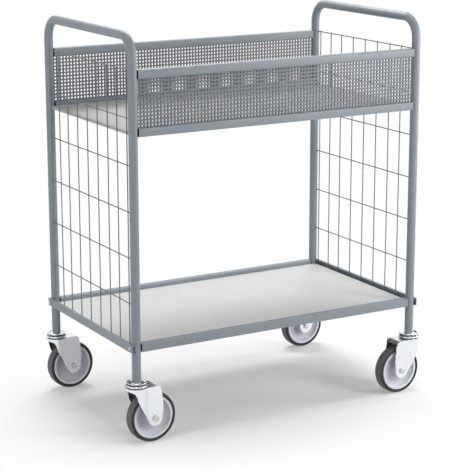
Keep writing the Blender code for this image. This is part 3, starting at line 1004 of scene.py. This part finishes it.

# %% [markdown]
# Under the head runs a ring of steel balls between two pressed lips. The
# CAD has one plain ring there. A tree lays the balls round a circle, and the
# lips are turned. The whole upper lip and the inner part of the lower lip get
# the near-black grease finish, which paints the shade between head, races and
# crown.

# %% Tree: balls round a circle
make, given = start_tree("ball_ring", "ring_radius ball_radius", "balls")
circle = make.add("GeometryNodeMeshCircle", {
    "Vertices": given["balls"], "Radius": given["ring_radius"]})
ball = make.add("GeometryNodeMeshIcoSphere", {
    "Radius": given["ball_radius"], "Subdivisions": 2})
BALL_RING = end_tree(make, on_points(make, circle, ball), given["finish"])


# %% Join pieces
def joined(name, parts):
    """One mesh object made of several."""
    bm = bmesh.new()
    materials = []
    for part in parts:
        own = list(part.data.materials)
        materials += [m for m in own if m not in materials]
        first = len(bm.faces)
        bm.from_mesh(part.data)
        bm.faces.ensure_lookup_table()
        for face in bm.faces[first:]:
            face.material_index = materials.index(own[face.material_index])
    remove(*parts)
    made = from_bmesh(name, bm)
    for material in materials:
        made.data.materials.append(material)
    return made


# %% Ball races
DARK_RACE_RADIUS = 24.3 * MM
balls = grow("ball_race_balls", BALL_RING, balls=30, ring_radius=21.4 * MM,
             ball_radius=1.5 * MM, finish=ZINC)
tidy(put(balls, shift(z=RING_LOW + 3.7 * MM)), outward=False)
upper = turned("ball_race_upper", in_mm(
    [(0, 0), (22.6, 0), (22.6, -0.6), (19, -1.2), (0, -1.2)], RING_HIGH),
    ROUND_STEPS, ZINC, ease=0.3 * MM)
lower = turned("ball_race_lower", in_mm(
    [(0, 2.2), (23.4, 2.2), (24.8, 3.9), (26.2, 3.9), (27, 2.9),
     (26.6, 1.1), (23.4, 0), (0, 0)], RING_LOW), ROUND_STEPS, ZINC,
    ease=0.9 * MM)
# Near-black on the upper lip and inside the lower one: painted shade between the parts.
paint(upper, GREASE_AND_SHADE, lambda f: True)
paint(lower, GREASE_AND_SHADE, lambda f: (f.center.xy.length < DARK_RACE_RADIUS
                                and f.center.z > RING_LOW + 1 * MM))
mount_on_castors(joined("ball_race", (upper, balls, lower)), "fork", "zinc",
                 "bearing_ring")

# %% [markdown]
# The fork is pressed from one plate. A round crown turns down into a skirt,
# and the skirt runs on into the two sides that carry the axle. Pressing has
# two tells: the top edge is rolled over at a radius larger than the plate's
# thickness, and the round part meets the flat sides in a soft upright crease.
# Here a rolled-over block gives the outside, the side view trims it, and a
# smaller block takes out the room for the wheel. Behind the swivel a short
# lip of the plate stays, and a cup sits on top. The inside of the fork and
# its lip get a dark zinc copy as painted shade, and the top of the cup a
# near-black one, painted shade under the race.


# %% Outlines of the fork
def through(points, steps=5):
    """Smooth line through the points, which it keeps."""
    knots = [Vector(p) for p in points]
    knots = [2 * knots[0] - knots[1]] + knots + [2 * knots[-1] - knots[-2]]
    made = [tuple(knots[1])]
    for a, b, c, d in zip(knots, knots[1:], knots[2:], knots[3:]):
        for k in range(1, steps + 1):
            t = k / steps
            made.append(tuple(0.5 * (
                2 * b + (c - a) * t + (2 * a - 5 * b + 4 * c - d) * t ** 2
                + (3 * b - a - 3 * c + d) * t ** 3)))
    return made


def arc(centre, radius, first, last, steps):
    return [(centre[0] + radius * cos(first + (last - first) * k / steps),
             centre[1] + radius * sin(first + (last - first) * k / steps))
            for k in range(steps + 1)]


def fork_points(*shares):
    """Places in shares of the trail and of the crown's rise."""
    return [(x * TRAIL, WHEEL_RADIUS + z * (CROWN_TOP - WHEEL_RADIUS))
            for x, z in shares]


CREASE = radians(14)
FORK_BACK = fork_points((1.21, 1), (1.36, 0.965), (1.45, 0.86), (1.54, 0.58),
                        (1.58, 0.3))
FORK_FRONT = fork_points((-0.14, 0.49), (-0.3, 0.73), (-0.46, 0.87),
                         (-0.78, 0.93))
TIP_RADIUS = 19.5 * MM
FAR = 2 * CROWN_TOP
tip = arc((TRAIL, WHEEL_RADIUS), TIP_RADIUS, radians(14), radians(-153), 28)
FORK_SIDE = ([(-FAR, FAR), (FORK_BACK[0][0], FAR)] + through(FORK_BACK) + tip
             + through([tip[-1]] + FORK_FRONT)[1:]
             + [(-FAR, FORK_FRONT[-1][1])])
lip_foot = CROWN_TOP - 9 * MM
lip = [(x - PLATE, z - PLATE) for x, z in through(FORK_BACK[:3])
       if z - PLATE > lip_foot]
WHEEL_ROOM = ([(-FAR, CROWN_TOP - PLATE)] + lip
              + [(lip[-1][0], lip_foot), (FAR, lip_foot), (FAR, -FAR),
                 (-FAR, -FAR)])


def fork_plan(radius, half):
    """Seen from above: round in front, then straight flanks."""
    first = asin(half / radius)
    crease = Vector((radius * cos(first), half))
    front = arc((0, 0), radius, first + CREASE, 2 * pi - first - CREASE, 56)
    start, stop = Vector(front[0]), crease + Vector((radius * CREASE, 0))
    ease = parabola(stop, crease, start, 5)[:-1]
    return (ease + front + [(x, -y) for x, y in reversed(ease)]
            + [(FAR, -half), (FAR, half)])


# %% Press the fork
AXLE_HOLE = 4.3 * MM


def prism(part, outline, length):
    return section_bar("pressed_fork" + part, (outline,), length, ZINC)


fork = put(prism("", FORK_SIDE, 2 * FAR), UPRIGHT)
room_side = put(prism("_room_side", WHEEL_ROOM, 2 * FAR), UPRIGHT)
block = prism("_block", fork_plan(CROWN_RADIUS, FORK_OUTER), CROWN_TOP)
put(block, shift(z=CROWN_TOP / 2))
soften(block, 1.4 * MM, 4)
room = prism("_room", fork_plan(CROWN_RADIUS - PLATE, FORK_INNER),
             2 * CROWN_TOP)
combine(room, room_side, "INTERSECT")
cup = turned("pressed_fork_cup", in_mm(
    [(0, 1.8), (22, 1.8), (23, 1), (23, -1), (0, -1)], CROWN_TOP),
    ROUND_STEPS, ZINC, ease=0.5 * MM)
hole = put(turned("pressed_fork_hole", rod(AXLE_HOLE, FAR, -FAR), 32, ZINC),
           ON_AXLE)
for tool, operation in ((block, "INTERSECT"), (room, "DIFFERENCE"),
                        (cup, "UNION"), (hole, "DIFFERENCE")):
    combine(fork, tool, operation)
soften(fork, 0.4 * MM, 2, limit=42)
fork = coat(even(tidy(settle(fork))), ZINC)
remove(block, room, room_side, cup, hole)

# %% Paint and mount the fork
inside = Vector((TRAIL, 0, WHEEL_RADIUS + TRAIL))
# Inner faces and the inside of the lip get the dark zinc copy: painted shade.
paint(fork, FORK_INSIDE_SHADE, lambda f: (
    f.normal.dot(inside - f.center) > 0
    and (f.normal.z > -0.1 or f.center.z > CROWN_TOP - 2 * PLATE)
    or f.center.x > FORK_BACK[1][0] and abs(f.center.y) < FORK_INNER
    and f.center.z > lip_foot - PLATE and f.normal.z < 0.45))
# The top of the cup gets the near-black finish: painted shade under the race.
paint(fork, GREASE_AND_SHADE, lambda f: f.center.z > CROWN_TOP + 0.2 * MM)
mount_on_castors(fork, "fork", "zinc", "castor_fork")

# %% [markdown]
# The tyre's tread is slightly crowned with rounded shoulders, and a narrow
# groove separates it from the rim. The rim is a moulding with a deep bowl on
# each side, a flat edge round it, painted lighter as painted light, and a hub
# that carries the axle.

# %% Tyres and rims
WHEEL_STEPS = 120
RIM_RADIUS = WHEEL_RADIUS - 9 * MM
RIM_EDGE_RADIUS = 46.8 * MM
side = (in_mm([(0, 11.4), (1.7, 11.6), (2.6, 15.0)],
              radius=RIM_RADIUS + FIT_GAP)
        + in_mm([(-4.2, 14.9), (-1.4, 12.6), (-0.2, 7.5)],
                radius=WHEEL_RADIUS))
tyre = turned("moulded_tyre", mirrored(side, (WHEEL_RADIUS, 0)), WHEEL_STEPS,
              RUBBER, ease=1.6 * MM, ring=True)
paint(tyre, SIDE_RUBBER, lambda f: (
    f.center.xy.length < WHEEL_RADIUS - 1.6 * MM
    and abs(f.center.z) > 10 * MM))
mount_on_castors(put(tyre, ON_AXLE), "wheel", "tyre_rubber", "wheel_tyre")

side = in_mm([(4.4, 19.6), (12.6, 19.6), (13.9, 18.4), (15.2, 6.6),
              (18.6, 3.8), (26, 3.2), (36, 4.2), (43, 7.2), (46.6, 11.2),
              (47.4, 13.4), (52.9, 13.4), (RIM_RADIUS / MM, 12.4)])
rim = turned("moulded_rim", mirrored(side), WHEEL_STEPS, WHEEL_PLASTIC,
             ease=1.8 * MM, ring=True)
# The outer edge gets the lighter copy: painted light.
paint(rim, RIM_LIT_EDGE, lambda f: f.center.xy.length > RIM_EDGE_RADIUS)
mount_on_castors(put(rim, ON_AXLE), "wheel", "wheel_plastic", "wheel_rim")

# %% [markdown]
# The axle is a hexagon bolt. Its corners are chamfered by turning, so the
# head is a hexagon prism cut by a cone. A thin washer lies under it, and a
# nut with a stub of thread sits on the other side.

# %% Axle sizes
HEAD_ACROSS = 13.6 * MM
HEAD_HEIGHT = 4.5 * MM
AXLE_RADIUS = 4 * MM
THREAD_RADIUS = 3.8 * MM
WASHER = 0.9 * MM
WASHER_RADIUS = 8.3 * MM
SEAT = FORK_OUTER + FIT_GAP
HEAD_SEAT = SEAT + WASHER
HEAD_TOP = SEAT + HEAD_HEIGHT


# %% Hexagon heads
def hexagon(name):
    """Chamfered hexagon on the washer's upper face."""
    bm = bmesh.new()
    radius = HEAD_ACROSS / sqrt(3)
    height = HEAD_TOP - HEAD_SEAT
    bmesh.ops.create_cone(bm, cap_ends=True, segments=6, radius1=radius,
                          radius2=radius, depth=height)
    bmesh.ops.translate(bm, verts=bm.verts,
                        vec=(0, 0, HEAD_SEAT + height / 2))
    holder = from_bmesh(name, bm)
    chamfer = turned(name + "_chamfer", [
        (0, HEAD_TOP), (HEAD_ACROSS * 0.44, HEAD_TOP),
        (radius * 1.06, HEAD_SEAT + height * 0.74),
        (radius * 1.06, HEAD_SEAT - height), (0, HEAD_SEAT - height)], 48,
        BOLT_ZINC)
    combine(holder, chamfer, "INTERSECT")
    soften(holder, 0.15 * MM, 2)
    made = coat(even(tidy(settle(holder))), BOLT_ZINC)
    remove(chamfer)
    return made


def axle_end(name, bar, turn):
    """A hexagon, its washer and a bar, joined on the axle."""
    washer = turned(name + "_washer", rod(WASHER_RADIUS, HEAD_SEAT, SEAT), 48,
                    BOLT_ZINC, ease=0.2 * MM)
    return put(joined(name, (hexagon(name + "_head"), washer, bar)),
               ON_AXLE @ spin("X", turn))


shank = turned("shank", rod(AXLE_RADIUS, HEAD_SEAT, -FORK_OUTER), 32,
               BOLT_ZINC)
mount_on_castors(axle_end("hexagon_bolt", shank, 0), "fork", "zinc",
                 "axle_bolt")

end = HEAD_TOP + 0.8 * MM
stub = turned("stub", [
    (0, end), (THREAD_RADIUS - 0.5 * MM, end), (THREAD_RADIUS, HEAD_TOP),
    (THREAD_RADIUS, HEAD_SEAT), (0, HEAD_SEAT)], 32, BOLT_ZINC, ease=0.2 * MM)
mount_on_castors(axle_end("hexagon_nut", stub, pi), "fork", "zinc",
                 "axle_nut")

# %% [markdown]
# ## Studio
#
# The photograph has a white ground with one soft grey shadow under the
# trolley. The floor is a pale sheet that takes the shadow. Some way out from
# the object it turns into plain white, as does the world, so no horizon shows
# from any side. Metal mirrors that same white, while the light on the object
# stays moderate: only seen and mirrored rays get the white, and the floor
# throws less light back at the undersides than it shows.


# %% White where rays see it
def seen_rays(make):
    """1 for camera, glossy and transmitted rays, 0 for diffuse ones."""
    camera = make.add("ShaderNodeLightPath", out="Is Camera Ray")
    glossy = camera.sibling("Is Glossy Ray")
    through_glass = camera.sibling("Is Transmission Ray")
    return camera.math("MAXIMUM", camera, glossy.math(
        "MAXIMUM", glossy, through_glass))


# %% Floor and world
make = finish("floor_paint")
seen = seen_rays(make)
FLOOR = surface(make, blend(make, seen, (0.72,) * 3, (0.93,) * 3), 0.95,
                specular=0.0)
parts = make.add("ShaderNodeSeparateXYZ", {"Vector": make.place})
across, along = parts * 0.66, parts.sibling("Y")
reach = across.math("SQRT", across * across + along * along)
fade = make.add("ShaderNodeMapRange", {
    "Value": reach, "From Min": 0.26, "From Max": 0.58, "To Min": 0.18,
    "To Max": 1.0}, interpolation_type="SMOOTHSTEP")
white = make.add("ShaderNodeEmission", {"Color": (1, 1, 1, 1)})
nodes = make.tree.nodes
own = Value(make.tree, nodes["Principled BSDF"].outputs[0])
mixed = make.add("ShaderNodeMixShader", {0: seen * fade, 1: own, 2: white})
feed(make.tree, nodes["Material Output"].inputs["Surface"], mixed)

bm = bmesh.new()
bmesh.ops.create_grid(bm, x_segments=1, y_segments=1, size=40)
coat(from_bmesh("studio_floor", bm), FLOOR)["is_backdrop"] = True

LIGHTING = 0.38
world = bpy.data.worlds.new("studio_world")
world.use_nodes = True
bpy.context.scene.world = world
make = Maker(world.node_tree)
background = make.tree.nodes["Background"]
feed(make.tree, background.inputs["Color"], (1, 1, 1, 1))
feed(make.tree, background.inputs["Strength"],
     LIGHTING + seen_rays(make) * (1 - LIGHTING))

# %% [markdown]
# A sun with a wide disc stands straight above and throws the one shadow. A
# softbox at the right front makes the right sides of things brighter than the
# left ones and throws each fork's shadow on its wheel. A wide one, high at
# the back, brightens the rear half of the lower board. Two weak ones at the
# left and the right end light the outer sides of the tubes.

# %% Lamps
def lamp(name, kind, place, aim, energy, **sizes):
    light = bpy.data.lights.new(name, kind)
    light.energy = energy
    for size, value in sizes.items():
        setattr(light, size, value)
    holder = linked(name, light)
    holder.visible_camera = False
    holder.location = place
    holder.rotation_mode = "QUATERNION"
    holder.rotation_quaternion = (
        Vector(aim) - Vector(place)).to_track_quat("-Z", "Y")
    print("lamp:", name)


lamp("high_lamp", "SUN", (0, 0, 3), (0, 0, 0), 0.56, angle=radians(11))
for name, place, aim, energy, width, height in (
        ("side_softbox", (1.3, -1.8, 1.1), (0.2, 0, 0.5), 20, 0.6, 0.8),
        ("rear_softbox", (0.4, 1.2, 2.2), (0, 0.1, 0.3), 27, 1.4, 0.6),
        ("left_softbox", (-2.2, -0.7, 0.9), (-0.2, 0, 0.5), 9, 0.9, 1.0),
        ("right_softbox", (2.2, -0.7, 0.9), (0.2, 0, 0.5), 14, 0.5, 1.0)):
    lamp(name, "AREA", place, aim, energy, shape="RECTANGLE", size=width,
         size_y=height)

# %% [markdown]
# ## Camera
#
# The photographer kept the back of the camera upright and shifted the lens.
# Here the camera looks down instead, because a shift would spoil every other
# view. Place, turn and lens were fitted so that posts and rails land within a
# few pixels of the photograph.

# %% Set the camera
CAMERA_PLACE = (-2.0551, -3.5418, 1.4122)
CAMERA_YAW = radians(30.216)
CAMERA_PITCH = radians(13.641)
camera = bpy.data.cameras.new("camera")
camera.sensor_width = 36
camera.lens = 124.53
holder = linked("camera", camera)
holder.location = CAMERA_PLACE
holder.rotation_euler = (pi / 2 - CAMERA_PITCH, 0, -CAMERA_YAW)
bpy.context.scene.camera = holder
bpy.context.scene.view_settings.view_transform = "Standard"
print("lens in mm: %.2f" % camera.lens)

# %% [markdown]
# ## Finish
#
# The size of the dressed model's box is printed, in millimetres. The
# dressed model must stay in the CAD model's box.

# %% Print the visual box
low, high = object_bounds()
print("visual box in mm:", [round(v / MM, 1) for v in high - low])
